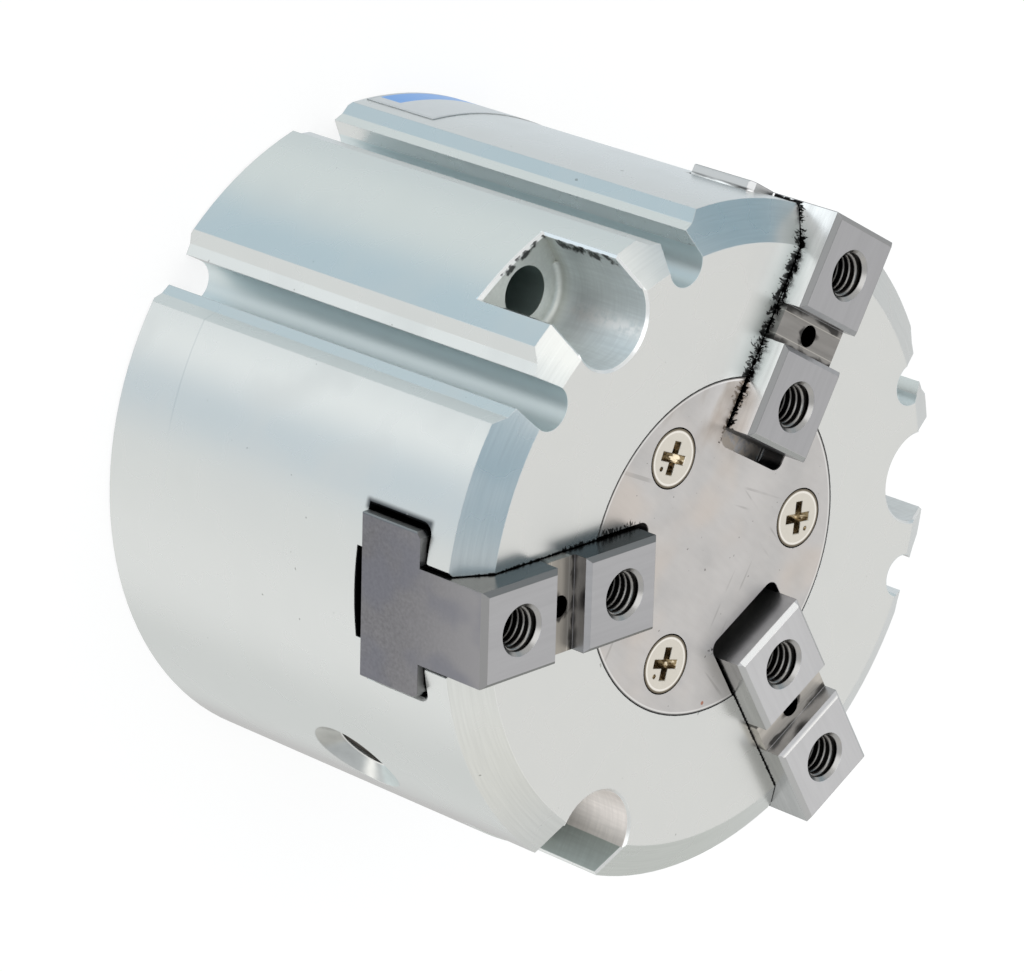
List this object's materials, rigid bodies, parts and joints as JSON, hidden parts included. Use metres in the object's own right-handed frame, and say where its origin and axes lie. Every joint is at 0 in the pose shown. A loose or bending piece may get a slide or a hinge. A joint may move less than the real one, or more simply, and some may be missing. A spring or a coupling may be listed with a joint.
{
  "type": "three-jaw pneumatic gripper",
  "caption": "Round pneumatic gripper for a robot wrist: ground steel T-slot jaws driven by a wedge cam on a piston, in an anodised aluminium housing.",
  "frame": {"origin": "centre of the mounting face, on the housing axis", "axes": "+Z along the housing axis from the mounting face towards the jaws; +Y along jaw_3, pointing outwards; jaw_1 at -30 degrees and jaw_2 at -150 degrees about Z"},
  "size_m": [0.062, 0.062, 0.0481],
  "materials": {
    "housing": "satin, clear anodised",
    "cover_plate": "fine brushed stainless",
    "cover_screw": "nickel plated",
    "label": "printed foil with a blank field",
    "end_cap": "satin, clear anodised",
    "seal_rubber": "matt",
    "bumper_rubber": "matt",
    "spring_steel": "phosphated",
    "steel_washer": "plain",
    "bronze": "plain",
    "piston": "turned",
    "magnet": "plastic-bonded magnet",
    "piston_rod": "hard chromed",
    "wedge_cam": "hardened and ground",
    "black_screw": "black oxide",
    "jaw_steel": "hardened and ground"
  },
  "bodies": {
    "housing": {"body": "housing", "cover_plate": "cover_plate", "cover_screw_1": "cover_screw", "cover_screw_2": "cover_screw", "cover_screw_3": "cover_screw", "label": "label", "end_cap": "end_cap", "end_cap_o_ring": "seal_rubber", "retaining_ring": "spring_steel", "rod_bush": "bronze", "rod_seal": "seal_rubber", "seal_retainer": "steel_washer", "upper_bumper": "bumper_rubber", "lower_bumper": "bumper_rubber"},
    "piston_group": {"piston": "piston", "piston_seal_lower": "seal_rubber", "piston_seal_upper": "seal_rubber", "piston_magnet": "magnet", "piston_rod": "piston_rod", "piston_screw": "black_screw", "wedge_cam": "wedge_cam", "cam_screw": "black_screw"},
    "jaw_1": {"jaw_1": "jaw_steel"},
    "jaw_2": {"jaw_2": "jaw_steel"},
    "jaw_3": {"jaw_3": "jaw_steel"}
  },
  "joints": [
    {"name": "piston_slide", "type": "slide", "parent": "housing", "child": "piston_group", "axis": [0, 0, 1], "range_m": [-0.00125, 0.00375]},
    {"name": "jaw_1_slide", "type": "slide", "parent": "housing", "child": "jaw_1", "axis": [0.866, -0.5, 0], "range_m": [-0.001, 0.003]},
    {"name": "jaw_2_slide", "type": "slide", "parent": "housing", "child": "jaw_2", "axis": [-0.866, -0.5, 0], "range_m": [-0.001, 0.003]},
    {"name": "jaw_3_slide", "type": "slide", "parent": "housing", "child": "jaw_3", "axis": [0, 1, 0], "range_m": [-0.001, 0.003]}
  ],
  "couplings": [
    {"joint": "jaw_1_slide", "follows": "piston_slide", "ratio": 0.8},
    {"joint": "jaw_2_slide", "follows": "piston_slide", "ratio": 0.8},
    {"joint": "jaw_3_slide", "follows": "piston_slide", "ratio": 0.8}
  ]
}
